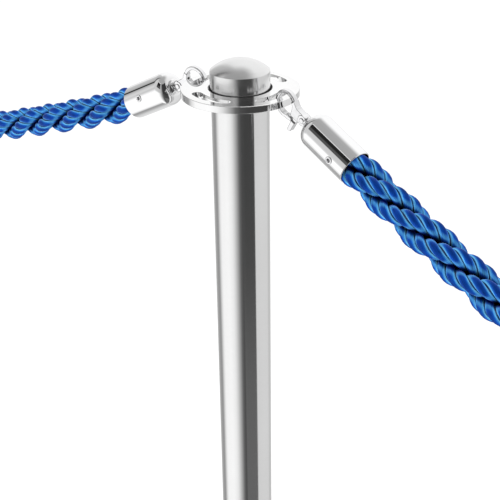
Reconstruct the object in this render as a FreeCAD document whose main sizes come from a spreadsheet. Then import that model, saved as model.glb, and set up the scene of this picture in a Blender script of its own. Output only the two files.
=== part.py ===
import FreeCAD, Part
import Sketcher
import math
import os

# Rope barrier stanchion: weighted dome base, 2 inch post, slotted ring plate under
# a domed cap, and two barrier ropes whose snap hooks hang in opposite ring slots.
# Row frame: millimetres, +Z up, origin at the centre of the underside of the base,
# +X to the right-hand rope side. Each snap hook has a frame of its own: origin at
# the centre of its C, x along the swivel axis towards the rope, y up in the hook's
# plane. The far fittings use the same frame turned round.

V = FreeCAD.Vector
doc = FreeCAD.newDocument("stanchion")
sheet = doc.addObject("Spreadsheet::Sheet", "Dims")
D = {}
CELLS = {}


def dim(name, value):
    """One driving dimension: a plain number in the sheet under a word alias."""
    if name in D:
        return name
    row = len(D) + 1
    sheet.set("A%d" % row, name)
    sheet.set("B%d" % row, repr(round(float(value), 5)))
    sheet.setAlias("B%d" % row, name)
    D[name] = round(float(value), 5)
    return name


def profile_cell(key, name, value):
    """A cell of the outline's own sheet, made once and shared by every copy."""
    label = "Outline_" + key
    full = key + "/" + name
    if full not in CELLS:
        sh = doc.getObject(label) or doc.addObject("Spreadsheet::Sheet", label)
        row = sum(1 for c in CELLS if c.startswith(key + "/")) + 1
        sh.set("A%d" % row, name)
        sh.set("B%d" % row, repr(round(float(value), 5)))
        sh.setAlias("B%d" % row, name)
        CELLS[full] = value
    return "%s.%s" % (label, name)


# ---- driving dimensions ------------------------------------------------------
for _n, _v in [
    ("ring_top", 960.0), ("ring_thickness", 6.39), ("ring_radius", 51.39),
    ("ring_recess_radius", 27.84), ("ring_recess_depth", 3.2),
    ("ring_stud_hole_radius", 5.2), ("ring_edge_round", 0.5),
    ("slot_inner_radius", 35.5), ("slot_outer_radius", 44.3),
    ("slot_centre_azimuth", 48.0), ("slot_half_span", 30.5),
    ("tube_radius", 25.4), ("tube_wall", 1.5), ("tube_foot", 30.0),
    ("cap_radius", 26.07), ("cap_edge", 15.02), ("cap_rise", 10.0),
    ("base_radius", 160.0), ("cover_gauge", 1.2), ("cover_land", 36.0),
    ("weight_radius", 150.0), ("floor_pad_height", 4.0),
    ("hook_inner_radius", 8.7), ("hook_outer_radius", 12.1), ("hook_plate", 5.0),
    ("shank_plate", 5.6), ("boss_plate", 6.6), ("slot_in_shank", 2.6),
    ("tongue_plate", 2.4), ("tab_plate", 4.6), ("pivot_x", 22.4),
    ("rivet_radius", 1.5), ("gate_bore", 1.55), ("gate_reach", 28.9),
    ("hook_reach", 29.1), ("axis_rise", 1.0), ("nose_x", 29.5),
    ("stem_radius", 3.2), ("stem_bore", 3.28), ("ferrule_length", 55.5),
    ("ferrule_radius", 15.47), ("ferrule_bore", 14.7), ("nose_round", 9.47),
    ("rope_radius", 15.4), ("rope_neck_radius", 14.7), ("rope_insert", 15.0), ("neck_insert", 27.0),
    ("web_radius", 47.85), ("screw_station_right", 39.5), ("screw_station_left", 34.0),
    ("screw_radius", 3.4), ("spring_mean", 2.05), ("spring_wire", 0.25), ("spring_level", 0.25),
    ("spring_pocket", 2.5), ("spring_pocket_cut", 6.0), ("cheek_radius", 4.7),
    ("hook_mouth_cut", 12.0), ("rivet_hole_cut", 14.0), ("gate_bore_cut", 14.0), ("slot_cut_reach", 2400.0),
    ("right_web_azimuth", -39.8), ("right_azimuth", -47.8), ("right_slope", -25.5), ("right_roll", 4.0),
    ("right_web_x", -3.2), ("right_web_y", -1.2),
    ("left_web_azimuth", 139.5), ("left_azimuth", 139.8), ("left_slope", -26.6), ("left_roll", -6.0),
    ("left_web_x", -2.8), ("left_web_y", -2.0),
]:
    dim(_n, _v)

PARTS = []          # every sub-part that is exported, in order
ALL = []            # every object of the document that has a State


def finish(obj, label, placement=None):
    obj.Label = label
    if placement is not None:
        obj.Placement = placement
    PARTS.append(obj)
    return obj


def role(body, name):
    return [f for f in body.Origin.OriginFeatures if f.Role == name][0]


def new_body(label):
    return doc.addObject("PartDesign::Body", label)


def sketch(body, name, plane):
    sk = body.newObject("Sketcher::SketchObject", name)
    sk.AttachmentSupport = [(role(body, plane), "")]
    sk.MapMode = "FlatFace"
    return sk


def outline(sk, key, pts):
    """Closed outline. Each point is (x, y) or (x, y, R, side): an arc of radius R
    runs from that point to the next, its centre on the left (+1) or right (-1).
    Every point and radius is a cell of the sheet."""
    n = len(pts)
    g0 = sk.GeometryCount
    ends = []
    for i in range(n):
        p, q = pts[i], pts[(i + 1) % n]
        a, b = V(p[0], p[1], 0), V(q[0], q[1], 0)
        if len(p) > 2:
            R, side = p[2], p[3]
            ch = b.sub(a)
            half = ch.Length / 2.0
            hgt = math.sqrt(max(R * R - half * half, 0.0))
            nrm = V(-ch.y, ch.x, 0).multiply(1.0 / ch.Length)
            c = (a + b) * 0.5 + nrm * (hgt * side)
            aa = math.atan2(a.y - c.y, a.x - c.x)
            ab = math.atan2(b.y - c.y, b.x - c.x)
            circ = Part.Circle(c, V(0, 0, 1), R)
            if side > 0:
                while ab < aa:
                    ab += 2 * math.pi
                sk.addGeometry(Part.ArcOfCircle(circ, aa, ab))
                ends.append((g0 + i, 1, 2, R))
            else:
                while aa < ab:
                    aa += 2 * math.pi
                sk.addGeometry(Part.ArcOfCircle(circ, ab, aa))
                ends.append((g0 + i, 2, 1, R))
        else:
            sk.addGeometry(Part.LineSegment(a, b))
            ends.append((g0 + i, 1, 2, None))
    for i in range(n):
        j = (i + 1) % n
        sk.addConstraint(Sketcher.Constraint("Coincident", ends[i][0], ends[i][2], ends[j][0], ends[j][1]))
    for i in range(n):
        geo, s = ends[i][0], ends[i][1]
        x, y = pts[i][0], pts[i][1]
        if abs(x) < 1e-9:
            sk.addConstraint(Sketcher.Constraint("PointOnObject", geo, s, -2))
        else:
            k = sk.addConstraint(Sketcher.Constraint("DistanceX", -1, 1, geo, s, float(x)))
            sk.setExpression("Constraints[%d]" % k, profile_cell(key, "across_%d" % i, x))
        if abs(y) < 1e-9:
            sk.addConstraint(Sketcher.Constraint("PointOnObject", geo, s, -1))
        else:
            k = sk.addConstraint(Sketcher.Constraint("DistanceY", -1, 1, geo, s, float(y)))
            sk.setExpression("Constraints[%d]" % k, profile_cell(key, "along_%d" % i, y))
        if ends[i][3] is not None and min(abs(x), abs(pts[(i + 1) % n][0])) < 1e-9:
            sk.addConstraint(Sketcher.Constraint("PointOnObject", geo, 3, -2))   # a dome: centre on the axis
        elif ends[i][3] is not None:
            k = sk.addConstraint(Sketcher.Constraint("Radius", geo, float(ends[i][3])))
            sk.setExpression("Constraints[%d]" % k, profile_cell(key, "bend_%d" % i, ends[i][3]))
    return sk


def turned(label, pts, placement=None, body=None):
    """A turned piece: its outline (radius, height) revolved about Z."""
    own = body is None
    body = body or new_body(label)
    sk = outline(sketch(body, label + "_profile", "XZ_Plane"), label, pts)
    rev = body.newObject("PartDesign::Revolution", label + "_turn")
    rev.Profile = sk
    rev.ReferenceAxis = (sk, ["V_Axis"])
    rev.Angle = 360.0
    doc.recompute()
    if own:
        finish(body, label, placement)
    return body


def plate(body, name, key, pts, thick_alias, plane="XY_Plane", cut=False):
    """A flat pad, or a cut, centred on the sketch plane."""
    sk = outline(sketch(body, name + "_outline", plane), key, pts)
    kind = "PartDesign::Pocket" if cut else "PartDesign::Pad"
    f = body.newObject(kind, name)
    f.Profile = sk
    f.Length = D[thick_alias]
    f.setExpression("Length", "Dims." + thick_alias)
    f.Midplane = True
    before = body.Shape.Volume if cut else 0.0
    doc.recompute()
    if cut and not body.Shape.Volume < before - 1e-6:
        raise RuntimeError(name + " cuts nothing")
    return f


def round_cut(body, name, x, y, alias, depth_alias, reverse=None, plane="XY_Plane"):
    """A round hole about the pivot, centred on the plane, or one-sided if reverse is given."""
    sk = sketch(body, name + "_circle", plane)
    sk.addGeometry(Part.Circle(V(x, y, 0), V(0, 0, 1), D[alias]))
    k = sk.addConstraint(Sketcher.Constraint("Radius", 0, D[alias]))
    sk.setExpression("Constraints[%d]" % k, "Dims." + alias)
    if abs(x) > 1e-9:
        k = sk.addConstraint(Sketcher.Constraint("DistanceX", -1, 1, 0, 3, float(x)))
        sk.setExpression("Constraints[%d]" % k, "Dims.pivot_x")
    else:
        sk.addConstraint(Sketcher.Constraint("PointOnObject", 0, 3, -2))
    sk.addConstraint(Sketcher.Constraint("PointOnObject", 0, 3, -1))
    f = body.newObject("PartDesign::Pocket", name)
    f.Profile = sk
    f.Length = D[depth_alias]
    f.setExpression("Length", "Dims." + depth_alias)
    before = body.Shape.Volume
    if reverse is None:
        f.Midplane = True
    else:
        f.Reversed = reverse
    doc.recompute()
    if not body.Shape.Volume < before - 1e-6:
        raise RuntimeError(name + " cuts nothing")
    return f


# ---- the post: base, tube, ring and cap --------------------------------------
ZT = D["ring_top"]
ZB = ZT - D["ring_thickness"]
ZR = ZT - D["ring_recess_depth"]
TR, TW = D["tube_radius"], D["tube_wall"]
LAND, BR, CG = D["cover_land"], D["base_radius"], D["cover_gauge"]
FH, FOOT = D["floor_pad_height"], D["tube_foot"]

# rubber pad that the base stands on, open in the middle to reach the bolt
turned("base_floor_pad", [(18, 0), (145.2, 0), (146, 0.8), (146, FH), (18, FH)])
# cast-iron weight with a counterbore for the bolt head
turned("base_weight", [
    (16, FH), (D["weight_radius"] - 2, FH), (D["weight_radius"], FH + 2), (D["weight_radius"], 11.5),
    (146, 13.4), (95, 24.2), (40, FOOT), (6.5, FOOT), (6.5, 14.5), (16, 14.5)])
# spun stainless cover: rolled lip, shoulder, long crown, flat land round the post
turned("base_cover", [
    (BR, 1.5), (BR, 8.5, 7.0, 1), (BR - 5.2, 14.95, 430.0, 1), (42.0, LAND), (TR + 0.2, LAND),
    (TR + 0.2, LAND - CG), (41.9, LAND - CG, 428.8, -1), (BR - 5.9, 13.9, 5.8, -1),
    (BR - CG, 8.4), (BR - CG, 1.5)])
# bolt, washer and threaded plug that pull the post down on the weight
turned("base_washer", [(6.2, 12.0), (15.0, 12.0), (15.0, 14.5), (6.2, 14.5)])
turned("base_bolt", [(0, 5.6), (8.7, 5.6), (9.5, 6.4), (9.5, 12.0), (5.95, 12.0), (5.95, 46.5), (5.2, 47.5), (0, 47.5)])
turned("tube_bottom_plug", [(6.0, FOOT), (TR - TW, FOOT), (TR - TW, 51.0), (TR - TW - 1, 52.0), (6.0, 52.0)])
# domed trim collar where the post meets the base
turned("base_collar", [
    (TR + 0.1, LAND), (40.0, LAND), (40.0, LAND + 2.2, 12.0, 1), (29.5, LAND + 13.2),
    (28.6, LAND + 14.0), (TR + 0.1, LAND + 14.0)])
# the post
turned("post_tube", [(TR - TW, FOOT), (TR, FOOT), (TR, ZB), (TR - TW, ZB)])
turned("tube_top_plug", [(5.0, ZB - 26), (TR - TW - 1, ZB - 26), (TR - TW, ZB - 25), (TR - TW, ZB), (5.0, ZB)])

# ring plate: turned blank with a recess for the cap, then four curved slots
ring = new_body("ring_plate")
RR, RE = D["ring_radius"], D["ring_edge_round"]
turned("ring_plate", [
    (D["ring_stud_hole_radius"], ZB), (RR - RE, ZB, RE, 1), (RR, ZB + RE), (RR, ZT - RE, RE, 1),
    (RR - RE, ZT), (D["ring_recess_radius"] + 0.2, ZT), (D["ring_recess_radius"], ZT - 0.2),
    (D["ring_recess_radius"], ZR), (D["ring_stud_hole_radius"], ZR)], body=ring)
ri, ro = D["slot_inner_radius"], D["slot_outer_radius"]
rm, re = (ri + ro) / 2.0, (ro - ri) / 2.0
half = D["slot_half_span"] - math.degrees(math.asin(re / rm))


def polar(r, deg):
    return (r * math.cos(math.radians(deg)), r * math.sin(math.radians(deg)))


az0 = D["slot_centre_azimuth"]


def slot_tip(sign):
    c, t = polar(rm, az0 + sign * half), polar(re, az0 + sign * half + 90)
    return (c[0] + sign * t[0], c[1] + sign * t[1])


sk = outline(sketch(ring, "slot_outline", "XY_Plane"), "ring_slot", [
    polar(ro, az0 - half) + (ro, 1), polar(ro, az0 + half) + (re, 1), slot_tip(1) + (re, 1),
    polar(ri, az0 + half) + (ri, -1), polar(ri, az0 - half) + (re, 1), slot_tip(-1) + (re, 1)])
cut = ring.newObject("PartDesign::Pocket", "rope_slot")
cut.Profile = sk
cut.Midplane = True
cut.Length = D["slot_cut_reach"]
cut.setExpression("Length", "Dims.slot_cut_reach")
doc.recompute()
if "Invalid" in sk.State or not ring.Shape.isValid():
    raise RuntimeError("ring slot failed")
pat = ring.newObject("PartDesign::PolarPattern", "four_slots")
pat.Originals = [cut]
pat.Axis = (sk, ["N_Axis"])
pat.Angle = 360.0
pat.Occurrences = 4
ring.Tip = pat
doc.recompute()
finish(ring, "ring_plate")

turned("cap_gasket", [(6.0, ZR), (27.4, ZR), (27.4, ZR + 0.8), (6.0, ZR + 0.8)])
CR, CE = D["cap_radius"], D["cap_edge"]
dome = (CR * CR + D["cap_rise"] ** 2) / (2 * D["cap_rise"])
turned("cap", [
    (5.0, ZR + 0.8), (9.0, ZR + 0.8), (9.0, ZT + 6.0), (21.8, ZT + 9.5), (21.8, ZR + 0.8), (CR - 0.5, ZR + 0.8),
    (CR, ZR + 1.3), (CR, ZT + CE, dome, 1), (0, ZT + CE + D["cap_rise"]), (0, ZT + 9.0), (5.0, ZT + 7.0)])
turned("cap_stud", [(0, ZB - 18), (4.2, ZB - 18), (4.95, ZB - 17.2), (4.95, ZT + 4.5), (4.2, ZT + 5.3), (0, ZT + 5.3)])


# ---- snap hooks, ferrules and ropes ------------------------------------------
def frame_of(origin, x, y):
    """Placement whose local x and y are the given directions."""
    x = V(x).normalize()
    z = x.cross(y).normalize()
    y = z.cross(x)
    m = FreeCAD.Matrix(x.x, y.x, z.x, origin.x, x.y, y.y, z.y, origin.y, x.z, y.z, z.z, origin.z, 0, 0, 0, 1)
    return FreeCAD.Placement(m)


def swivel_dirs(az, slope, roll):
    """Swivel axis outwards, and the up direction in the hook's plane."""
    A, S, r = math.radians(az), math.radians(slope), math.radians(roll)
    a = V(math.cos(S) * math.cos(A), math.cos(S) * math.sin(A), math.sin(S))
    side = V(0, 0, 1).cross(a).normalize()
    up = a.cross(side)
    n = side * math.cos(r) + up * math.sin(r)
    return a, a.cross(n)


ALONG_X = FreeCAD.Placement(V(0, 0, 0), FreeCAD.Rotation(V(0, 1, 0), 90))   # Z goes to X
PX = D["pivot_x"]
HI, HO = D["hook_inner_radius"], D["hook_outer_radius"]
AX, NX = D["axis_rise"], D["nose_x"]


def reach_point(R, r):
    """Lower point at r from the C's centre and R from the gate's pivot."""
    x = (r * r - R * R + PX * PX) / (2 * PX)
    return (x, -math.sqrt(r * r - x * x))


def snap_hook(prefix, pl):
    """Hook, gate, rivet, spring, collar, retainer, ferrule and screw of one rope end."""
    # -- hook: a rounded C, shank with a slot for the gate's tongue, turned stem
    b = new_body(prefix + "_hook")
    e = 1.1
    h2 = D["hook_plate"] / 2.0
    outline_c = [(HI, -h2 + e, e, -1), (HI + e, -h2), (HO - e, -h2, e, 1), (HO, -h2 + e), (HO, h2 - e, e, 1),
                 (HO - e, h2), (HI + e, h2, e, 1), (HI, h2 - e)]
    outline_c[0] = (HI, -h2 + e, e, 1)
    turned_c = outline(sketch(b, prefix + "_c_section", "XZ_Plane"), "hook_c", outline_c)
    rev = b.newObject("PartDesign::Revolution", prefix + "_c")
    rev.Profile = turned_c
    rev.ReferenceAxis = (turned_c, ["V_Axis"])
    rev.Angle = 360.0
    doc.recompute()
    R = D["hook_reach"]
    pa = (PX + R * math.cos(math.radians(186)), R * math.sin(math.radians(186)))
    pb = (PX + R * math.cos(math.radians(212)), R * math.sin(math.radians(212)))
    plate(b, prefix + "_mouth", "hook_mouth", [pa + (R, 1), pb, (16, -16.5), (16, -1.2), (2, -1.2)],
          "hook_mouth_cut", cut=True)
    plate(b, prefix + "_shank", "hook_shank", [
        (5.82, 6.467), (7.9, 9.165), (11.4, 5.9), (14.0, 4.9), (25.8, 4.4), (25.8, -2.4), (22.0, -4.4),
        (14.0, -5.3), (9.6, -4.6), (8.617, -1.2, 8.7, 1)], "shank_plate")
    # cheeks round the rivet
    skb = sketch(b, prefix + "_cheek_circle", "XY_Plane")
    skb.addGeometry(Part.Circle(V(PX, 0, 0), V(0, 0, 1), D["cheek_radius"]))
    k = skb.addConstraint(Sketcher.Constraint("Radius", 0, D["cheek_radius"]))
    skb.setExpression("Constraints[%d]" % k, "Dims.cheek_radius")
    k = skb.addConstraint(Sketcher.Constraint("DistanceX", -1, 1, 0, 3, PX))
    skb.setExpression("Constraints[%d]" % k, "Dims.pivot_x")
    skb.addConstraint(Sketcher.Constraint("PointOnObject", 0, 3, -1))
    pad = b.newObject("PartDesign::Pad", prefix + "_cheeks")
    pad.Profile = skb
    pad.Length = D["boss_plate"]
    pad.setExpression("Length", "Dims.boss_plate")
    pad.Midplane = True
    doc.recompute()
    # neck and stem, turned about the swivel axis
    sks = sketch(b, prefix + "_stem_profile", "XY_Plane")
    sr = D["stem_radius"]
    outline(sks, "hook_stem", [
        (25.0, AX), (NX + 8.5, AX), (NX + 8.5, AX + sr - 0.4), (NX + 8.1, AX + sr), (NX - 2.1, AX + sr),
        (NX - 2.7, AX + 3.9), (NX - 3.6, AX + 4.2), (25.0, AX + 4.2)])
    ax = sks.addGeometry(Part.LineSegment(V(10, AX, 0), V(50, AX, 0)), True)
    sks.addConstraint(Sketcher.Constraint("Horizontal", ax))
    k = sks.addConstraint(Sketcher.Constraint("DistanceY", -1, 1, ax, 1, AX))
    sks.setExpression("Constraints[%d]" % k, "Dims.axis_rise")
    st = b.newObject("PartDesign::Revolution", prefix + "_stem")
    st.Profile = sks
    st.ReferenceAxis = (sks, ["Axis0"])
    st.Angle = 360.0
    doc.recompute()
    plate(b, prefix + "_tongue_slot", "hook_slot", [
        (4.0, 3.8), (PX, 3.7, 3.7, -1), (PX + 3.7, 0, 3.7, -1), (PX, -3.7), (PX, -9.5), (4.0, -9.5)],
          "slot_in_shank", cut=True)
    round_cut(b, prefix + "_rivet_hole", PX, 0, "rivet_radius", "rivet_hole_cut")
    finish(b, prefix + "_hook", pl)

    # -- gate: curved bar that closes the C, tongue on the rivet, thumb tab
    g = new_body(prefix + "_gate")
    RG = D["gate_reach"]
    gi = 9.5
    i0, o0 = reach_point(RG, gi), reach_point(RG, HO)
    plate(g, prefix + "_gate_bar", "gate_bar", [
        i0 + (RG, 1), o0 + (HO, 1), polar(HO, -72), (11.6, -10.2), (10.2, -7.7), polar(gi, -60) + (gi, -1)],
        "hook_plate")
    plate(g, prefix + "_gate_tongue", "gate_tongue", [
        (4.9, -8.2), (5.6, -10.6), (11.5, -10.6), (15.2, -10.3), (17.0, -6.6), (21.2, -2.966, 3.2, 1),
        (21.0, 2.878)], "tongue_plate")
    plate(g, prefix + "_thumb_tab", "gate_tab", [
        (11.3, -9.8), (15.4, -9.9), (13.9, -19.3), (13.2, -20.0), (10.9, -19.8), (10.3, -19.1)], "tab_plate")
    round_cut(g, prefix + "_gate_bore", PX, 0, "gate_bore", "gate_bore_cut")
    # pocket for the spring: from the +z face of the tongue down to 0.5 below its middle
    skp = g.newObject("Sketcher::SketchObject", prefix + "_spring_circle")
    skp.AttachmentSupport = [(role(g, "XY_Plane"), "")]
    skp.MapMode = "FlatFace"
    skp.AttachmentOffset = FreeCAD.Placement(V(0, 0, -0.5), FreeCAD.Rotation())
    skp.addGeometry(Part.Circle(V(PX, 0, 0), V(0, 0, 1), D["spring_pocket"]))
    k = skp.addConstraint(Sketcher.Constraint("Radius", 0, D["spring_pocket"]))
    skp.setExpression("Constraints[%d]" % k, "Dims.spring_pocket")
    k = skp.addConstraint(Sketcher.Constraint("DistanceX", -1, 1, 0, 3, PX))
    skp.setExpression("Constraints[%d]" % k, "Dims.pivot_x")
    skp.addConstraint(Sketcher.Constraint("PointOnObject", 0, 3, -1))
    pk = g.newObject("PartDesign::Pocket", prefix + "_spring_pocket")
    pk.Profile = skp
    pk.Length = D["spring_pocket_cut"]
    pk.setExpression("Length", "Dims.spring_pocket_cut")
    pk.Reversed = True
    before = g.Shape.Volume
    doc.recompute()
    if not g.Shape.Volume < before - 1.0:
        raise RuntimeError("spring pocket cuts nothing")
    finish(g, prefix + "_gate", pl)

    # -- rivet through the cheeks and the tongue
    at_pivot = pl.multiply(FreeCAD.Placement(V(PX, 0, 0), FreeCAD.Rotation()))
    rr, bh = D["rivet_radius"], D["boss_plate"] / 2.0
    turned(prefix + "_gate_rivet", [
        (0, -bh - 0.7), (2.1, -bh - 0.7), (2.55, -bh - 0.3), (2.55, -bh), (rr, -bh), (rr, bh),
        (2.55, bh), (2.55, bh + 0.3), (2.1, bh + 0.7), (0, bh + 0.7)], at_pivot)
    # -- coil of the gate spring round the rivet, inside the tongue's pocket
    s = new_body(prefix + "_gate_spring")
    sks = sketch(s, prefix + "_spring_section", "XZ_Plane")
    sks.addGeometry(Part.Circle(V(D["spring_mean"], 0.25, 0), V(0, 0, 1), D["spring_wire"]))
    k = sks.addConstraint(Sketcher.Constraint("Radius", 0, D["spring_wire"]))
    sks.setExpression("Constraints[%d]" % k, "Dims.spring_wire")
    k = sks.addConstraint(Sketcher.Constraint("DistanceX", -1, 1, 0, 3, D["spring_mean"]))
    sks.setExpression("Constraints[%d]" % k, "Dims.spring_mean")
    k = sks.addConstraint(Sketcher.Constraint("DistanceY", -1, 1, 0, 3, 0.25))
    sks.setExpression("Constraints[%d]" % k, "Dims.spring_level")
    rv = s.newObject("PartDesign::Revolution", prefix + "_coil")
    rv.Profile = sks
    rv.ReferenceAxis = (sks, ["V_Axis"])
    rv.Angle = 300.0
    doc.recompute()
    finish(s, prefix + "_gate_spring", at_pivot)

    # -- swivel: collar outside the nose, retainer inside it
    at_nose = pl.multiply(FreeCAD.Placement(V(NX, AX, 0), FreeCAD.Rotation())).multiply(ALONG_X)
    sb = D["stem_bore"]
    turned(prefix + "_swivel_collar", [(sb, -2.0), (5.9, -2.0), (6.9, -1.0), (6.9, -0.4), (6.5, 0.0), (sb, 0.0)], at_nose)
    turned(prefix + "_swivel_retainer", [(sr, 4.1), (6.3, 4.1), (6.3, 6.4), (5.8, 6.9), (sr, 6.9)], at_nose)

    # -- ferrule: closed nose with a swivel bore, thin skirt round the rope
    f = new_body(prefix + "_ferrule_blank")
    FR, FB, FL, NR = D["ferrule_radius"], D["ferrule_bore"], D["ferrule_length"], D["nose_round"]
    turned("ferrule", [
        (sb, 0.0), (FR - NR, 0.0, NR, 1), (FR, NR), (FR, FL - 0.3), (FR - 0.3, FL), (FB, FL), (FB, 11.0),
        (8.0, 4.0), (sb, 4.0)], body=f)
    side = "left" if prefix.startswith("left") else "right"
    station = D["screw_station_" + side]
    roll = {"right": 87.0, "left": -78.0, "right_far": 70.0, "left_far": -60.0}[prefix]
    # the screw's own frame: origin on the swivel axis, Z out through the skirt
    at_screw = at_nose.multiply(FreeCAD.Placement(V(0, 0, station), FreeCAD.Rotation())).multiply(
        FreeCAD.Placement(V(0, 0, 0), FreeCAD.Rotation(V(0, 0, 1), roll))).multiply(
        FreeCAD.Placement(V(0, 0, 0), FreeCAD.Rotation(V(0, 1, 0), 0))).multiply(
        FreeCAD.Placement(V(0, 0, 0), FreeCAD.Rotation(V(1, 0, 0), -90)))
    local = at_nose.inverse().multiply(at_screw)
    hole = doc.addObject("Part::Cylinder", prefix + "_screw_hole")
    hole.Radius = D["screw_radius"]
    hole.setExpression("Radius", "Dims.screw_radius")
    hole.Height = 24.0
    hole.Placement = local.multiply(FreeCAD.Placement(V(0, 0, 6), FreeCAD.Rotation()))
    fcut = doc.addObject("Part::Cut", prefix + "_ferrule_drilled")
    fcut.Base = f
    fcut.Tool = hole
    doc.recompute()
    finish(fcut, prefix + "_ferrule", at_nose)
    SR = D["screw_radius"]
    turned(prefix + "_ferrule_screw", [
        (0, 12.2), (SR - 0.8, 12.2), (SR, 13.0), (SR, FR + 0.15), (SR - 0.45, FR + 0.5), (1.7, FR + 0.5), (1.7, FR - 1.5),
        (0, FR - 1.5)], at_screw)
    return at_nose


def web_frame(web_az, az, slope, roll, web_x, web_y):
    """Hook frame from where the ring's web lies inside the C."""
    a, b = swivel_dirs(az, slope, roll)
    w = V(*polar(D["web_radius"], web_az), ZB + D["ring_thickness"] / 2.0)
    c = w - a * web_x - b * web_y
    return w, frame_of(c, a, b)


# the two hooks in the ring: right slot and left slot, with the web's place in each C
W_R, PL_R = web_frame(D["right_web_azimuth"],
                      D["right_azimuth"],
                      D["right_slope"],
                      D["right_roll"],
                      D["right_web_x"],
                      D["right_web_y"])
W_L, PL_L = web_frame(D["left_web_azimuth"],
                      D["left_azimuth"],
                      D["left_slope"],
                      D["left_roll"],
                      D["left_web_x"],
                      D["left_web_y"])


def along(pl, x):
    return pl.multVec(V(x, AX, 0))


def rope_route(pl, az, drops):
    """Points of a rope: along the ferrule's axis, then (run out, drop) pairs that
    are measured from the ferrule's mouth in the upright plane of the rope."""
    mouth = along(pl, NX + D["ferrule_length"])
    first = along(pl, NX + D["ferrule_length"] - D["rope_insert"])
    ax = (mouth - first).normalize()
    hd = V(math.cos(math.radians(az)), math.sin(math.radians(az)), 0)
    pts = [first, mouth + ax * drops[0]]
    for hh, dz in drops[1:]:
        pts.append(mouth + hd * hh + V(0, 0, dz))
    return mouth, [V(round(p.x, 2), round(p.y, 2), round(p.z, 2)) for p in pts]


M_R, ROUTE_R = rope_route(PL_R, D["right_azimuth"], [
    27.0, (70.4, -32.3), (117.4, -52.9), (163.4, -72.3), (213.4, -92.7)])
M_L, ROUTE_L = rope_route(PL_L, D["left_azimuth"], [
    15.7, (58.0, -22.3), (102.0, -36.9), (146.0, -51.2), (188.0, -64.6), (229.0, -77.4), (276.0, -91.6)])


def far_frame(route, screw_dummy=0):
    """Frame of the far hook: its x runs back along the rope's last run."""
    end, prev = route[-1], route[-2]
    e = (end - prev).normalize()
    mouth = prev + (end - prev) * 0.5
    insert = (end - mouth).Length
    x = e * -1.0
    side = V(0, 0, 1).cross(x).normalize()
    y = x.cross(side)
    origin = mouth + e * (NX + D["ferrule_length"]) - y * AX
    return mouth, insert, frame_of(origin, x, y)


MF_R, INS_R, PLF_R = far_frame(ROUTE_R)
MF_L, INS_L, PLF_L = far_frame(ROUTE_L)

snap_hook("right", PL_R)
snap_hook("left", PL_L)
snap_hook("right_far", PLF_R)
snap_hook("left_far", PLF_L)


def rope(label, route, m1, m2):
    """Rope: one tube on straight runs joined by tangent arcs between the two mouths,
    and a thinner neck pressed into each ferrule."""
    pts = [V(p) for p in route]
    n = len(pts)
    runs = [(pts[i + 1] - pts[i]).Length for i in range(n - 1)]
    d1 = (pts[1] - pts[0]).normalize()
    d2 = (pts[-1] - pts[-2]).normalize()
    start, stop = m1 + d1 * 0.3, m2 - d2 * 0.3
    edges, cur, length, radii = [], start, 0.0, []
    for i in range(1, n - 1):
        u = (pts[i] - pts[i - 1]).normalize()
        w = (pts[i + 1] - pts[i]).normalize()
        turn = math.acos(max(-1.0, min(1.0, u.dot(w))))
        t = 0.45 * min(runs[i - 1], runs[i])
        R = t / math.tan(turn / 2.0)
        radii.append((round(R, 1), round(math.degrees(turn), 2)))
        a, b = pts[i] - u * t, pts[i] + w * t
        bis = (w - u).normalize()
        mid = pts[i] + bis * (R / math.cos(turn / 2.0) - R)
        edges.append(Part.LineSegment(cur, a).toShape())
        length += (a - cur).Length
        edges.append(Part.Arc(a, mid, b).toShape())
        length += R * turn
        cur = b
    edges.append(Part.LineSegment(cur, stop).toShape())
    length += (stop - cur).Length
    wire = Part.Wire(edges)
    R0 = D["rope_radius"]
    prof = Part.Wire([Part.Circle(start, d1, R0).toShape()])
    tube = wire.makePipeShell([prof], True, False)
    want = math.pi * R0 * R0 * length
    print("%s: route %.1f mm, runs %s, arc radii and turns %s, volume %.0f against section x length %.0f" % (
        label, length, [round(r, 1) for r in runs], radii, tube.Volume, want))
    if abs(tube.Volume - want) > 0.01 * want:
        raise RuntimeError(label + " tube volume is off")
    neck = D["rope_neck_radius"]
    inside = D["neck_insert"]
    n1 = Part.makeCylinder(neck, inside + 0.3, m1 - d1 * inside, d1)
    n2 = Part.makeCylinder(neck, inside + 0.3, stop, d2)
    shape = tube.fuse([n1, n2]).removeSplitter()
    if shape.ShapeType == "Compound" and len(shape.Solids) == 1:
        shape = shape.Solids[0]
    obj = doc.addObject("Part::Feature", label)
    obj.Shape = shape
    return finish(obj, label)


rope("right_rope", ROUTE_R, M_R, MF_R)
rope("left_rope", ROUTE_L, M_L, MF_L)

# ---- check and export --------------------------------------------------------
doc.recompute()
bad = []
for o in doc.Objects:
    if any(s in ("Invalid", "Error") for s in o.State):
        bad.append("%s: %s" % (o.Label, o.State))
for o in PARTS:
    if o.Shape.isNull() or not o.Shape.isValid() or o.Shape.Volume <= 0:
        bad.append("%s has no valid solid" % o.Label)
if bad:
    raise RuntimeError("; ".join(bad))
os.makedirs("parts", exist_ok=True)
for o in PARTS:
    o.Shape.exportStep("parts/%s.step" % o.Label)
print(len(PARTS), "nodes")
for nm, pl in (("right", PL_R), ("left", PL_L), ("right_far", PLF_R), ("left_far", PLF_L)):
    m = pl.toMatrix()
    print(nm, "origin", [round(v, 3) for v in pl.Base], "x", [round(v, 5) for v in (m.A11, m.A21, m.A31)],
          "y", [round(v, 5) for v in (m.A12, m.A22, m.A32)], "z", [round(v, 5) for v in (m.A13, m.A23, m.A33)],
          "pivot", [round(v, 3) for v in pl.multVec(V(PX, 0, 0))], "nose", [round(v, 3) for v in pl.multVec(V(NX, AX, 0))])
print("webs", W_R, W_L)
print("route right", [tuple(p) for p in ROUTE_R])
print("route left", [tuple(p) for p in ROUTE_L])
print("mouths", M_R, MF_R, M_L, MF_L)
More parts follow.
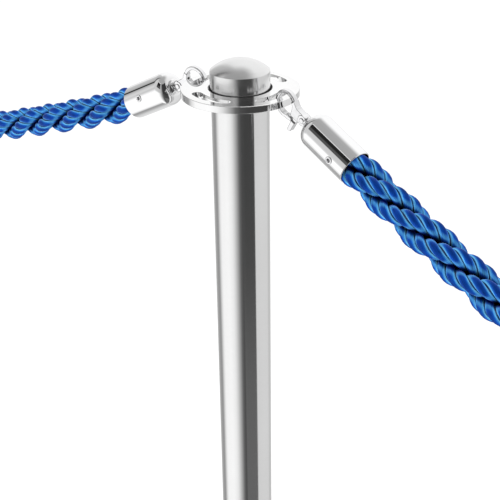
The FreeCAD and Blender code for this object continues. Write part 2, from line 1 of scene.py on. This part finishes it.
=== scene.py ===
import math
import random
import bpy
import numpy as np
from mathutils import Matrix, Vector


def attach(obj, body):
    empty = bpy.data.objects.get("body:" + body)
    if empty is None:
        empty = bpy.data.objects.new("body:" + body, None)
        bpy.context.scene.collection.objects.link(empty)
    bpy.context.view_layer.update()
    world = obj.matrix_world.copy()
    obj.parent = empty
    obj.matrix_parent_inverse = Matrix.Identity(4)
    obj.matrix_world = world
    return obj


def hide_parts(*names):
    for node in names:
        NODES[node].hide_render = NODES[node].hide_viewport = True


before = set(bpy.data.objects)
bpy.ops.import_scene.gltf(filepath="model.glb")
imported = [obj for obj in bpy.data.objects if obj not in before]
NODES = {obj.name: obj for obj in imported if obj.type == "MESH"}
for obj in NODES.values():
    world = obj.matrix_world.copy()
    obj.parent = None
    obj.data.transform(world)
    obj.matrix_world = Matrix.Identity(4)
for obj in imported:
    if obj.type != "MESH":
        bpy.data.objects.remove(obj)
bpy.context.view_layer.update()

scene = bpy.context.scene

# ------------------------------------------------------------------ camera
RING_Z = 0.960
psi, theta, phi = math.radians(0.41947), math.radians(26.8968), math.radians(-0.80522)
fwd = Vector((math.sin(psi) * math.cos(theta), math.cos(psi) * math.cos(theta), -math.sin(theta)))
right0 = Vector((math.cos(psi), -math.sin(psi), 0.0))
up0 = right0.cross(fwd)
right = right0 * math.cos(phi) + up0 * math.sin(phi)
up = up0 * math.cos(phi) - right0 * math.sin(phi)
cam_data = bpy.data.cameras.new("camera")
cam = bpy.data.objects.new("camera", cam_data)
scene.collection.objects.link(cam)
cam_data.lens = 77.62
cam_data.sensor_width = 36.0
cam_data.clip_start = 0.02
cam_data.clip_end = 200.0
cam.matrix_world = Matrix((
    (right.x, up.x, -fwd.x, 0.0),
    (right.y, up.y, -fwd.y, -0.889256),
    (right.z, up.z, -fwd.z, RING_Z + 0.293974),
    (0, 0, 0, 1)))
scene.camera = cam


# ------------------------------------------------------------------ helpers
def mat(name):
    m = bpy.data.materials.new(name)
    m.use_nodes = True
    nt = m.node_tree
    for n in list(nt.nodes):
        nt.nodes.remove(n)
    out = nt.nodes.new("ShaderNodeOutputMaterial")
    bsdf = nt.nodes.new("ShaderNodeBsdfPrincipled")
    nt.links.new(bsdf.outputs["BSDF"], out.inputs["Surface"])
    return m, nt, bsdf


def add(nt, kind, **props):
    n = nt.nodes.new(kind)
    for k, v in props.items():
        setattr(n, k, v)
    return n


def mathn(nt, op, a, b=None, c=None):
    n = nt.nodes.new("ShaderNodeMath")
    n.operation = op
    for i, v in enumerate((a, b, c)):
        if v is None:
            continue
        if isinstance(v, (int, float)):
            n.inputs[i].default_value = v
        else:
            nt.links.new(v, n.inputs[i])
    return n.outputs[0]


def ramp(nt, fac, stops, interp="LINEAR"):
    r = nt.nodes.new("ShaderNodeValToRGB")
    r.color_ramp.interpolation = interp
    els = r.color_ramp.elements
    while len(els) < len(stops):
        els.new(0.5)
    for e, (p, c) in zip(els, stops):
        e.position = p
        e.color = (c, c, c, 1) if isinstance(c, (int, float)) else (*c, 1)
    nt.links.new(fac, r.inputs["Fac"])
    return r.outputs["Color"]


def polar_coords(nt):
    """Radius and height about the post, and the object's coordinates."""
    tc = add(nt, "ShaderNodeTexCoord")
    sep = add(nt, "ShaderNodeSeparateXYZ")
    nt.links.new(tc.outputs["Object"], sep.inputs[0])
    x, y, z = sep.outputs
    r = mathn(nt, "SQRT", mathn(nt, "ADD", mathn(nt, "MULTIPLY", x, x), mathn(nt, "MULTIPLY", y, y)))
    return tc.outputs["Object"], x, y, z, r


# ------------------------------------------------------------------ materials
def brushed(name, base, rough, rough_var, lines, bump, aniso, along="z"):
    """Satin steel, brushed round the post: lines of even height (sides) or radius (top)."""
    m, nt, b = mat(name)
    co, x, y, z, r = polar_coords(nt)
    # fine lines that run round the post: noise of height and radius only
    comb = add(nt, "ShaderNodeCombineXYZ")
    nt.links.new(mathn(nt, "MULTIPLY", z, lines), comb.inputs[0])
    nt.links.new(mathn(nt, "MULTIPLY", r, lines), comb.inputs[1])
    ang = mathn(nt, "ARCTAN2", y, x)
    nt.links.new(mathn(nt, "MULTIPLY", ang, 2.2), comb.inputs[2])
    n1 = add(nt, "ShaderNodeTexNoise")
    n1.inputs["Scale"].default_value = 1.0
    n1.inputs["Detail"].default_value = 5.0
    n1.inputs["Roughness"].default_value = 0.65
    nt.links.new(comb.outputs[0], n1.inputs["Vector"])
    n2 = add(nt, "ShaderNodeTexNoise")
    n2.inputs["Scale"].default_value = 14.0
    n2.inputs["Detail"].default_value = 4.0
    nt.links.new(co, n2.inputs["Vector"])
    k = mathn(nt, "ADD", mathn(nt, "MULTIPLY", n1.outputs["Fac"], 0.75), mathn(nt, "MULTIPLY", n2.outputs["Fac"], 0.25))
    lo = tuple(c * 0.93 for c in base)
    hi = tuple(min(1.0, c * 1.05) for c in base)
    nt.links.new(ramp(nt, k, [(0.3, lo), (0.7, hi)]), b.inputs["Base Color"])
    rg = mathn(nt, "ADD", rough - rough_var / 2.0, mathn(nt, "MULTIPLY", k, rough_var))
    nt.links.new(rg, b.inputs["Roughness"])
    b.inputs["Metallic"].default_value = 1.0
    b.inputs["Anisotropic"].default_value = aniso
    b.inputs["Anisotropic Rotation"].default_value = 0.25
    t = add(nt, "ShaderNodeTangent", direction_type="RADIAL", axis="Z")
    nt.links.new(t.outputs[0], b.inputs["Tangent"])
    bp = add(nt, "ShaderNodeBump")
    bp.inputs["Strength"].default_value = bump
    bp.inputs["Distance"].default_value = 0.00004
    nt.links.new(n1.outputs["Fac"], bp.inputs["Height"])
    nt.links.new(bp.outputs[0], b.inputs["Normal"])
    return m


def chrome(name, base, rough, wave, wave_scale, bump=0.12, round_mm=0.0, line=0.15):
    """Plated or polished metal: mirror with a slightly uneven surface and faint wear; painted shade in its creases, a
    faint painted highlight on convex edges and, with round_mm, a painted dark line along rounded edges.
    """
    m, nt, b = mat(name)
    tc = add(nt, "ShaderNodeTexCoord")
    n1 = add(nt, "ShaderNodeTexNoise")
    n1.inputs["Scale"].default_value = wave_scale
    n1.inputs["Detail"].default_value = 2.0
    nt.links.new(tc.outputs["Object"], n1.inputs["Vector"])
    n2 = add(nt, "ShaderNodeTexNoise")
    n2.inputs["Scale"].default_value = 900.0
    n2.inputs["Detail"].default_value = 4.0
    nt.links.new(tc.outputs["Object"], n2.inputs["Vector"])
    geo = add(nt, "ShaderNodeNewGeometry")
    # painted shade and highlight: base colour darkened in creases and hollows (low pointiness), lightened a little on
    # convex edges
    crease_shade_and_edge_highlight = ramp(nt, geo.outputs["Pointiness"], [(0.44, 0.90), (0.52, 1.0), (0.62, 1.04)])
    base_n = add(nt, "ShaderNodeRGB")
    base_n.outputs[0].default_value = (*base, 1)
    mix = add(nt, "ShaderNodeMix", data_type="RGBA", blend_type="MULTIPLY")
    mix.inputs["Factor"].default_value = 1.0
    nt.links.new(base_n.outputs[0], mix.inputs[6])
    nt.links.new(crease_shade_and_edge_highlight, mix.inputs[7])
    nt.links.new(mix.outputs[2], b.inputs["Base Color"])
    nt.links.new(mathn(nt, "ADD", rough, mathn(nt, "MULTIPLY", ramp(nt, n2.outputs["Fac"], [(0.45, 0.0), (0.75, 1.0)]), rough * 1.5)),
                 b.inputs["Roughness"])
    b.inputs["Metallic"].default_value = 1.0
    bp = add(nt, "ShaderNodeBump")
    bp.inputs["Strength"].default_value = bump
    bp.inputs["Distance"].default_value = wave
    nt.links.new(n1.outputs["Fac"], bp.inputs["Height"])
    nt.links.new(bp.outputs[0], b.inputs["Normal"])
    if round_mm:
        # broken edges: a narrow turned-over line with a painted reflection of the dark surroundings; the base colour is
        # darkened, down to line, where the rounded normal leans away from the face
        bev = add(nt, "ShaderNodeBevel")
        bev.samples = 6
        bev.inputs["Radius"].default_value = round_mm / 1000.0
        nt.links.new(bev.outputs[0], bp.inputs["Normal"])
        dot = add(nt, "ShaderNodeVectorMath", operation="DOT_PRODUCT")
        nt.links.new(bev.outputs[0], dot.inputs[0])
        nt.links.new(geo.outputs["Normal"], dot.inputs[1])
        painted_edge_shade = ramp(nt, dot.outputs["Value"], [(0.86, line), (0.985, 1.0)])
        mix2 = add(nt, "ShaderNodeMix", data_type="RGBA", blend_type="MULTIPLY")
        mix2.inputs["Factor"].default_value = 1.0
        nt.links.new(mix.outputs[2], mix2.inputs[6])
        nt.links.new(painted_edge_shade, mix2.inputs[7])
        nt.links.new(mix2.outputs[2], b.inputs["Base Color"])
    return m


def rubber(name):
    m, nt, b = mat(name)
    tc = add(nt, "ShaderNodeTexCoord")
    n = add(nt, "ShaderNodeTexNoise")
    n.inputs["Scale"].default_value = 700.0
    n.inputs["Detail"].default_value = 6.0
    nt.links.new(tc.outputs["Object"], n.inputs["Vector"])
    nt.links.new(ramp(nt, n.outputs["Fac"], [(0.3, 0.012), (0.7, 0.03)]), b.inputs["Base Color"])
    nt.links.new(ramp(nt, n.outputs["Fac"], [(0.3, 0.65), (0.7, 0.85)]), b.inputs["Roughness"])
    bp = add(nt, "ShaderNodeBump")
    bp.inputs["Strength"].default_value = 0.4
    bp.inputs["Distance"].default_value = 0.0002
    nt.links.new(n.outputs["Fac"], bp.inputs["Height"])
    nt.links.new(bp.outputs[0], b.inputs["Normal"])
    return m


def casting(name):
    m, nt, b = mat(name)
    tc = add(nt, "ShaderNodeTexCoord")
    n = add(nt, "ShaderNodeTexNoise")
    n.inputs["Scale"].default_value = 260.0
    n.inputs["Detail"].default_value = 8.0
    nt.links.new(tc.outputs["Object"], n.inputs["Vector"])
    nt.links.new(ramp(nt, n.outputs["Fac"], [(0.3, (0.05, 0.05, 0.055)), (0.7, (0.14, 0.14, 0.145))]), b.inputs["Base Color"])
    b.inputs["Metallic"].default_value = 0.5
    b.inputs["Roughness"].default_value = 0.72
    bp = add(nt, "ShaderNodeBump")
    bp.inputs["Strength"].default_value = 0.7
    bp.inputs["Distance"].default_value = 0.0006
    nt.links.new(n.outputs["Fac"], bp.inputs["Height"])
    nt.links.new(bp.outputs[0], b.inputs["Normal"])
    return m


def satin_rope(name):
    """Rope fibre: fine filaments along each yarn, with a painted highlight on its flanks and painted shade, near black,
    in the creases.
    """
    m, nt, b = mat(name)
    uv = add(nt, "ShaderNodeUVMap", uv_map="strand")
    sep = add(nt, "ShaderNodeSeparateXYZ")
    nt.links.new(uv.outputs[0], sep.inputs[0])
    u, v = sep.outputs[0], sep.outputs[1]        # u: turns round the yarn from its crown, v: metres along it
    comb = add(nt, "ShaderNodeCombineXYZ")
    tw = mathn(nt, "ADD", u, mathn(nt, "MULTIPLY", v, 9.0))
    nt.links.new(mathn(nt, "MULTIPLY", tw, 46.0), comb.inputs[0])
    nt.links.new(mathn(nt, "MULTIPLY", v, 90.0), comb.inputs[1])
    n = add(nt, "ShaderNodeTexNoise")
    n.inputs["Scale"].default_value = 1.0
    n.inputs["Detail"].default_value = 4.0
    n.inputs["Roughness"].default_value = 0.6
    nt.links.new(comb.outputs[0], n.inputs["Vector"])
    big = add(nt, "ShaderNodeTexNoise")
    big.inputs["Scale"].default_value = 160.0
    big.inputs["Detail"].default_value = 3.0
    tc = add(nt, "ShaderNodeTexCoord")
    nt.links.new(tc.outputs["Object"], big.inputs["Vector"])
    k = mathn(nt, "ADD", mathn(nt, "MULTIPLY", n.outputs["Fac"], 0.72), mathn(nt, "MULTIPLY", big.outputs["Fac"], 0.28))
    # crown 1, flank 0, inner side -1
    crown = mathn(nt, "COSINE", mathn(nt, "MULTIPLY", u, 2 * math.pi))
    # painted highlight and shade round each yarn: near black on its inner side, light blue between flank and crown, mid
    # blue on the crown
    painted_rim_and_crease = ramp(nt, mathn(nt, "ADD", mathn(nt, "MULTIPLY", crown, 0.5), 0.5),
                [(0.0, (0.0, 0.0, 0.01)), (0.36, (0.001, 0.006, 0.04)), (0.50, (0.010, 0.07, 0.38)), (0.59, (0.24, 0.70, 1.0)),
                 (0.68, (0.12, 0.50, 1.0)), (0.80, (0.014, 0.15, 0.70)), (0.91, (0.005, 0.070, 0.44)), (1.0, (0.004, 0.052, 0.37))])
    col = ramp(nt, k, [(0.34, 0.22), (0.46, 0.72), (0.62, 1.0)])
    # the lower it lies between the strands, the less light reaches it
    dep = add(nt, "ShaderNodeAttribute", attribute_name="depth")
    shade = ramp(nt, dep.outputs["Fac"], [(0.42, 0.02), (0.54, 0.18), (0.63, 0.75), (0.70, 1.0), (0.86, 1.0), (0.95, 0.80), (1.0, 0.70)])
    mix0 = add(nt, "ShaderNodeMix", data_type="RGBA", blend_type="MULTIPLY")
    mix0.inputs["Factor"].default_value = 1.0
    nt.links.new(col, mix0.inputs[6])
    nt.links.new(shade, mix0.inputs[7])
    # a yarn's turned-down ends catch the light where it dives under the next strand
    ends = ramp(nt, dep.outputs["Fac"], [(0.62, 0.0), (0.70, 0.62), (0.77, 0.50), (0.86, 0.0)])
    lit = add(nt, "ShaderNodeMix", data_type="RGBA", blend_type="MIX")
    nt.links.new(ends, lit.inputs["Factor"])
    nt.links.new(painted_rim_and_crease, lit.inputs[6])
    lit.inputs[7].default_value = (0.12, 0.52, 1.0, 1)
    # painted shade: near black on the inner side of each yarn, in the grooves between yarns
    groove_shade = ramp(nt, mathn(nt, "ADD", mathn(nt, "MULTIPLY", crown, 0.5), 0.5), [(0.38, 0.01), (0.53, 1.0)])
    mix = add(nt, "ShaderNodeMix", data_type="RGBA", blend_type="MULTIPLY")
    mix.inputs["Factor"].default_value = 1.0
    nt.links.new(mix0.outputs[2], mix.inputs[6])
    nt.links.new(lit.outputs[2], mix.inputs[7])
    mix1 = add(nt, "ShaderNodeMix", data_type="RGBA", blend_type="MULTIPLY")
    mix1.inputs["Factor"].default_value = 1.0
    nt.links.new(mix.outputs[2], mix1.inputs[6])
    nt.links.new(groove_shade, mix1.inputs[7])
    nt.links.new(mix1.outputs[2], b.inputs["Base Color"])
    b.inputs["Metallic"].default_value = 0.42
    nt.links.new(ramp(nt, k, [(0.3, 0.46), (0.7, 0.36)]), b.inputs["Roughness"])
    b.inputs["Anisotropic"].default_value = 0.55
    t = add(nt, "ShaderNodeTangent", direction_type="UV_MAP", uv_map="strand")
    nt.links.new(t.outputs[0], b.inputs["Tangent"])
    open_ = ramp(nt, dep.outputs["Fac"], [(0.55, 0.0), (0.74, 0.5)])
    nt.links.new(open_, b.inputs["Specular IOR Level"])
    b.inputs["Specular Tint"].default_value = (0.10, 0.40, 1.0, 1)
    nt.links.new(mathn(nt, "MULTIPLY", open_, 0.5), b.inputs["Sheen Weight"])
    b.inputs["Sheen Roughness"].default_value = 0.3
    b.inputs["Sheen Tint"].default_value = (0.10, 0.45, 1.0, 1)
    bp = add(nt, "ShaderNodeBump")
    bp.inputs["Strength"].default_value = 0.6
    bp.inputs["Distance"].default_value = 0.00025
    nt.links.new(k, bp.inputs["Height"])
    nt.links.new(bp.outputs[0], b.inputs["Normal"])
    return m


M_POST = brushed("steel_post", (0.84, 0.84, 0.84), 0.12, 0.05, 5200.0, 0.07, 0.85)
M_CAP = brushed("steel_cap", (0.78, 0.78, 0.78), 0.19, 0.07, 4200.0, 0.12, 0.55)
M_RING = chrome("steel_ring_polished", (0.90, 0.90, 0.90), 0.030, 0.00010, 35.0, 0.05, round_mm=0.45, line=0.30)
M_BASE = chrome("steel_base_polished", (0.88, 0.88, 0.88), 0.055, 0.0003, 9.0, 0.05)
M_FERR = chrome("chrome_ferrule", (0.93, 0.93, 0.935), 0.014, 0.00006, 60.0, 0.03)
M_HOOK = chrome("chrome_hook", (0.88, 0.88, 0.89), 0.050, 0.0003, 210.0, 0.22, round_mm=0.75, line=0.05)
M_PLAIN = chrome("steel_plain", (0.60, 0.60, 0.61), 0.22, 0.0003, 300.0, 0.3)
M_RUBBER = rubber("rubber_black")
M_CAST = casting("iron_casting")
M_ROPE = satin_rope("rope_blue_satin")

FINISH = {
    "post_tube": M_POST, "cap": M_CAP, "ring_plate": M_RING, "base_cover": M_BASE, "base_collar": M_BASE,
    "cap_gasket": M_RUBBER, "base_floor_pad": M_RUBBER, "base_weight": M_CAST,
}
for name, obj in NODES.items():
    if name in FINISH:
        m = FINISH[name]
    elif name.endswith(("_ferrule", "_swivel_collar")):
        m = M_FERR
    elif name.endswith(("_hook", "_gate", "_gate_rivet", "_ferrule_screw")):
        m = M_HOOK
    else:
        m = M_PLAIN
    if not obj.material_slots:
        obj.data.materials.append(m)
    for s in obj.material_slots:
        s.material = m

# ------------------------------------------------------------------ ropes
ROUTES = {
    "right": [(81.66, -80.38, 927.27), (107.13, -108.46, 909.19), (138.05, -142.56, 888.51),
              (169.62, -177.38, 867.91), (200.52, -211.45, 848.51), (234.1, -248.49, 828.11)],
    "left": [(-87.33, 73.71, 926.88), (-108.29, 91.43, 913.13), (-141.87, 119.81, 897.86), (-175.48, 148.21, 883.26),
             (-209.09, 176.61, 868.96), (-241.16, 203.72, 855.56), (-272.48, 230.18, 842.76), (-308.38, 260.52, 828.56)],
}
MOUTHS = {
    "right": (Vector((0.0907577, -0.0904062, 0.9208148)), Vector((0.21731, -0.22997, 0.83831))),
    "left": (Vector((-0.0975713, 0.0823716, 0.9201595)), Vector((-0.29043, 0.24535, 0.83566))),
}
ROPE_D = 0.03175


def spline_points(side):
    """Points of the rope's centreline, read from the smooth curve through its route."""
    cu = bpy.data.curves.new(side + "_line", "CURVE")
    cu.dimensions = "3D"
    cu.resolution_u = 40
    sp = cu.splines.new("NURBS")
    pts = ROUTES[side]
    sp.points.add(len(pts) - 1)
    for p, q in zip(sp.points, pts):
        p.co = (q[0] / 1000.0, q[1] / 1000.0, q[2] / 1000.0, 1.0)
    sp.order_u = 3
    sp.use_endpoint_u = True
    ob = bpy.data.objects.new(side + "_line", cu)
    scene.collection.objects.link(ob)
    bpy.context.view_layer.update()
    me = bpy.data.meshes.new_from_object(ob)
    out = [v.co.copy() for v in me.vertices]
    bpy.data.objects.remove(ob)
    bpy.data.meshes.remove(me)
    bpy.data.curves.remove(cu)
    return np.array(out)


def resample(P, step):
    d = np.r_[0, np.cumsum(np.linalg.norm(np.diff(P, axis=0), axis=1))]
    n = int(round(d[-1] / step)) + 1
    s = np.linspace(0, d[-1], n)
    return s, np.c_[tuple(np.interp(s, d, P[:, i]) for i in range(3))]


def transport(P):
    T = np.gradient(P, axis=0)
    T /= np.linalg.norm(T, axis=1)[:, None]
    n0 = np.cross(T[0], (0, 0, 1.0))
    N = [n0 / np.linalg.norm(n0)]
    for i in range(1, len(P)):
        v = N[-1] - T[i] * np.dot(N[-1], T[i])
        N.append(v / np.linalg.norm(v))
    N = np.array(N)
    return T, N, np.cross(T, N)


STRANDS, YARNS = 3, 3
LEAD = {"right": 0.1185, "left": 0.127}     # one turn of a strand round the rope (left-hand lay)
YARN_LEAD = 0.0266     # one turn of a yarn round its strand (right-hand lay)


def rope_mesh(side, phase, seed):
    rnd = random.Random(seed)
    step = 0.0006
    ring = 14
    s, P = resample(spline_points(side), step)
    T, N, B = transport(P)
    m1, m2 = MOUTHS[side]
    s1 = s[np.argmin(np.linalg.norm(P - np.array(m1), axis=1))]
    s2 = s[np.argmin(np.linalg.norm(P - np.array(m2), axis=1))]
    keep = (s > s1 - 0.012) & (s < s2 + 0.012)
    s, P, T, N, B = s[keep], P[keep], T[keep], N[keep], B[keep]
    # the ferrules squeeze the rope at both ends
    def ease(x):
        x = np.clip(x, 0, 1)
        return x * x * (3 - 2 * x)
    g = 0.905 + 0.095 * np.minimum(ease((s - s1 + 0.002) / 0.009), ease((s2 + 0.002 - s) / 0.009))
    R = ROPE_D / 2.0 * 1.01
    rs = R * 0.464 * 0.975                     # radius of a strand
    rc = R - rs                                # its distance from the rope's centre
    ry = rs * 0.455                            # radius of a yarn
    rcy = rs - ry
    verts, faces, uvs, deep = [], [], [], []
    for i in range(STRANDS):
        jit = rnd.uniform(-0.02, 0.02)
        th = -2 * math.pi * (s - s1) / LEAD[side] + phase + 2 * math.pi * i / STRANDS + jit
        wob = 1 + 0.012 * np.sin(2 * math.pi * s / 0.083 + rnd.uniform(0, 6.28))
        O = np.cos(th)[:, None] * N + np.sin(th)[:, None] * B
        C = P + O * (rc * g * wob)[:, None]
        Ts = np.gradient(C, axis=0)
        Ts /= np.linalg.norm(Ts, axis=1)[:, None]
        On = O - Ts * np.sum(O * Ts, axis=1)[:, None]
        On /= np.linalg.norm(On, axis=1)[:, None]
        W = np.cross(Ts, On)
        for j in range(YARNS):
            ps = 2 * math.pi * s / YARN_LEAD + 2 * math.pi * j / YARNS + i * 0.9 + rnd.uniform(-0.05, 0.05)
            Q = np.cos(ps)[:, None] * On + np.sin(ps)[:, None] * W
            wy = 1 + 0.03 * np.sin(2 * math.pi * s / 0.037 + rnd.uniform(0, 6.28))
            Cy = C + Q * (rcy * g * wy)[:, None]
            Ty = np.gradient(Cy, axis=0)
            Ty /= np.linalg.norm(Ty, axis=1)[:, None]
            Qn = Q - Ty * np.sum(Q * Ty, axis=1)[:, None]
            Qn /= np.linalg.norm(Qn, axis=1)[:, None]
            Wy = np.cross(Ty, Qn)
            base = len(verts)
            n = len(s)
            fat = rnd.uniform(0.98, 1.03)
            for a in range(n):
                for c in range(ring):
                    al = 2 * math.pi * c / ring
                    ca, sa = math.cos(al), math.sin(al)
                    # a yarn is pressed flat against its neighbours and wide across
                    rad = ry * g[a] * fat
                    e1 = rad * 1.00 * ca
                    e2 = rad * 1.04 * sa
                    p = Cy[a] + Qn[a] * e1 + Wy[a] * e2
                    verts.append(p)
                    deep.append(math.dist(p, P[a]) / R)
            for a in range(n - 1):
                for c in range(ring):
                    d = (c + 1) % ring
                    faces.append((base + a * ring + c, base + a * ring + d, base + (a + 1) * ring + d, base + (a + 1) * ring + c))
                    u0, u1 = c / ring, (c + 1) / ring
                    off = (i * YARNS + j) * 5.0
                    uvs.extend(((u0 + off, s[a]), (u1 + off, s[a]), (u1 + off, s[a + 1]), (u0 + off, s[a + 1])))
            for a, flip in ((0, True), (n - 1, False)):
                idx = [base + a * ring + c for c in range(ring)]
                faces.append(tuple(reversed(idx)) if flip else tuple(idx))
                uvs.extend([(0.0, s[a])] * ring)
    # heart of the rope, seen only between the strands: a tube that fills the gaps, whose depth of 0.3 makes the rope
    # material paint it near black as shade
    base, n = len(verts), len(s)
    for a in range(n):
        for c in range(8):
            al = 2 * math.pi * c / 8
            verts.append(P[a] + (N[a] * math.cos(al) + B[a] * math.sin(al)) * (0.0045 * g[a]))
            deep.append(0.3)
    for a in range(n - 1):
        for c in range(8):
            d = (c + 1) % 8
            faces.append((base + a * 8 + c, base + a * 8 + d, base + (a + 1) * 8 + d, base + (a + 1) * 8 + c))
            uvs.extend(((0.5, s[a]), (0.5, s[a]), (0.5, s[a + 1]), (0.5, s[a + 1])))
    for a, flip in ((0, True), (n - 1, False)):
        idx = [base + a * 8 + c for c in range(8)]
        faces.append(tuple(reversed(idx)) if flip else tuple(idx))
        uvs.extend([(0.5, s[a])] * 8)
    me = bpy.data.meshes.new(side + "_rope_strands")
    me.from_pydata([tuple(v) for v in verts], [], faces)
    uvl = me.uv_layers.new(name="strand")
    uvl.data.foreach_set("uv", np.array(uvs, dtype=np.float32).ravel())
    at = me.attributes.new("depth", "FLOAT", "POINT")
    at.data.foreach_set("value", np.array(deep, dtype=np.float32))
    me.polygons.foreach_set("use_smooth", [True] * len(me.polygons))
    me.materials.append(M_ROPE)
    me.update()
    ob = bpy.data.objects.new(side + "_rope_strands", me)
    ob.visible_glossy = False
    scene.collection.objects.link(ob)
    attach(ob, side + "_rope_line")
    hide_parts(side + "_rope")
    return ob


rope_mesh("right", 0.705, 11)
rope_mesh("left", 1.174, 12)

# ------------------------------------------------------------------ studio
def plane_obj(name, centre, u, v, material, glossy_only=True):
    """A flat card spanned by half-vectors u and v."""
    c, u, v = Vector(centre), Vector(u), Vector(v)
    me = bpy.data.meshes.new(name)
    me.from_pydata([tuple(c - u - v), tuple(c + u - v), tuple(c + u + v), tuple(c - u + v)], [], [(0, 1, 2, 3)])
    uvl = me.uv_layers.new(name="card")
    for k, q in enumerate(((0, 0), (1, 0), (1, 1), (0, 1))):
        uvl.data[k].uv = q
    me.materials.append(material)
    ob = bpy.data.objects.new(name, me)
    scene.collection.objects.link(ob)
    if glossy_only:
        ob.visible_camera = False
        ob.visible_diffuse = False
        ob.visible_shadow = False
        ob.visible_transmission = False
        ob.visible_volume_scatter = False
    return ob


# floor
fm, nt, b = mat("floor_pale")
tc = add(nt, "ShaderNodeTexCoord")
nz = add(nt, "ShaderNodeTexNoise")
nz.inputs["Scale"].default_value = 3.0
nt.links.new(tc.outputs["Object"], nz.inputs["Vector"])
nt.links.new(ramp(nt, nz.outputs["Fac"], [(0.3, 0.93), (0.7, 0.95)]), b.inputs["Base Color"])
b.inputs["Roughness"].default_value = 1.0
b.inputs["Specular IOR Level"].default_value = 0.0
floor = plane_obj("floor", (0, 0, -0.0003), (60, 0, 0), (0, 60, 0), fm, glossy_only=False)
floor.visible_glossy = False

# studio round the object: soft white walls, a grey overhead scrim and a few dark flats.
# bearing 0 looks from the post towards the camera, positive to the right, in degrees.
world = bpy.data.worlds.new("studio")
scene.world = world
world.use_nodes = True
wt = world.node_tree
for n in list(wt.nodes):
    wt.nodes.remove(n)
wtc = add(wt, "ShaderNodeTexCoord")
wsep = add(wt, "ShaderNodeSeparateXYZ")
wt.links.new(wtc.outputs["Generated"], wsep.inputs[0])
dx, dy, dz = wsep.outputs
BEAR = mathn(wt, "MULTIPLY", mathn(wt, "ARCTAN2", dx, mathn(wt, "MULTIPLY", dy, -1.0)), 180.0 / math.pi)
ELEV = mathn(wt, "MULTIPLY", mathn(wt, "ARCSINE", dz), 180.0 / math.pi)


def step_at(value, at, soft, rising=True):
    n = add(wt, "ShaderNodeMapRange", interpolation_type="SMOOTHSTEP")
    wt.links.new(value, n.inputs["Value"])
    n.inputs["From Min"].default_value = at - soft / 2.0
    n.inputs["From Max"].default_value = at + soft / 2.0
    n.inputs["To Min"].default_value = 0.0 if rising else 1.0
    n.inputs["To Max"].default_value = 1.0 if rising else 0.0
    return n.outputs[0]


def patch(b0, b1, e0, e1, soft_b=2.0, soft_e=2.0):
    k = None
    for v, at, up_, sf in ((BEAR, b0, True, soft_b), (BEAR, b1, False, soft_b), (ELEV, e0, True, soft_e), (ELEV, e1, False, soft_e)):
        if at is None:
            continue
        q = step_at(v, at, sf, up_)
        k = q if k is None else mathn(wt, "MULTIPLY", k, q)
    return k


def over(under, value, mask):
    """value laid over under where mask is 1."""
    diff = mathn(wt, "SUBTRACT", value, under)
    return mathn(wt, "ADD", under, mathn(wt, "MULTIPLY", diff, mask))


def bearings(stops):
    fac = mathn(wt, "ADD", mathn(wt, "DIVIDE", BEAR, 360.0), 0.5)
    return ramp(wt, fac, [((a + 180.0) / 360.0, v) for a, v in stops])


W = 1.10
low = bearings([(-180, 0.78), (-163, 0.62), (-150, 0.46), (-130, 0.34), (-119, 0.36), (-108, 0.80), (-96, 1.08),
                (-62, 1.12), (-44, 1.00), (-34, 0.80), (-22, 0.46), (-10, 0.15), (0, 0.075), (14, 0.055), (52.5, 0.06),
                (54.5, 0.74), (90, 0.76), (122, 0.74), (137, 0.56), (152, 0.62), (168, 0.80), (180, 0.80)])
mid = bearings([(-180, 1.05), (-163, 1.0), (-155, 0.62), (-130.5, 0.44), (-128, 0.02), (-122.5, 0.02), (-120, 0.40), (-112, 0.62),
                (-104, 0.72), (-98, 0.58), (-88, 0.66), (-60, 0.62), (-28, 0.55), (-14, 0.34), (-4, 0.045), (52.5, 0.035),
                (54.5, 0.60), (62, 0.72), (110, 0.95), (140, 1.05), (180, 1.05)])
EN = low
EN = over(EN, mid, step_at(ELEV, -4.0, 14.0))
EN = over(EN, 0.15, patch(2, 53.0, None, -31.0, 6, 12))
EN = over(EN, 0.42, step_at(ELEV, 66.0, 30.0))
EN = over(EN, 0.40, patch(-110, 60, 56.5, None, 20, 1.0))
EN = over(EN, 0.95, patch(-78, -26, 55.5, 58.5, 3, 1.0))
EN = over(EN, 0.018, patch(-75, -28, 22.5, 55.5, 3, 0.8))
EN = over(EN, 0.085, patch(-75, -28, 22.5, 37.0, 3, 5))
lp = add(wt, "ShaderNodeLightPath")
bg_g = add(wt, "ShaderNodeBackground")
wt.links.new(EN, bg_g.inputs["Color"])
bg_d = add(wt, "ShaderNodeBackground")
bg_d.inputs["Color"].default_value = (1, 1, 1, 1)
bg_d.inputs["Strength"].default_value = W
mixw = add(wt, "ShaderNodeMixShader")
wt.links.new(lp.outputs["Is Glossy Ray"], mixw.inputs[0])
wt.links.new(bg_d.outputs[0], mixw.inputs[1])
wt.links.new(bg_g.outputs[0], mixw.inputs[2])
wout = add(wt, "ShaderNodeOutputWorld")
wt.links.new(mixw.outputs[0], wout.inputs["Surface"])

def soft_light(name, at, aim, w, h, energy):
    d = bpy.data.lights.new(name, "AREA")
    d.shape = "RECTANGLE"
    d.size, d.size_y = w, h
    d.energy = energy
    o = bpy.data.objects.new(name, d)
    o.location = at
    o.rotation_euler = (Vector(aim) - Vector(at)).to_track_quat("-Z", "Y").to_euler()
    o.visible_glossy = False
    o.visible_camera = False
    scene.collection.objects.link(o)
    return o


soft_light("key", (-0.9, -0.6, 2.4), (0, 0, 0.9), 1.4, 0.9, 12)
soft_light("fill_low_left", (-1.0, -0.8, 0.25), (0.05, 0, 0.93), 0.9, 0.6, 12)

scene.view_settings.view_transform = "Standard"
scene.view_settings.look = "None"
scene.view_settings.exposure = 0.0
scene.view_settings.gamma = 1.0
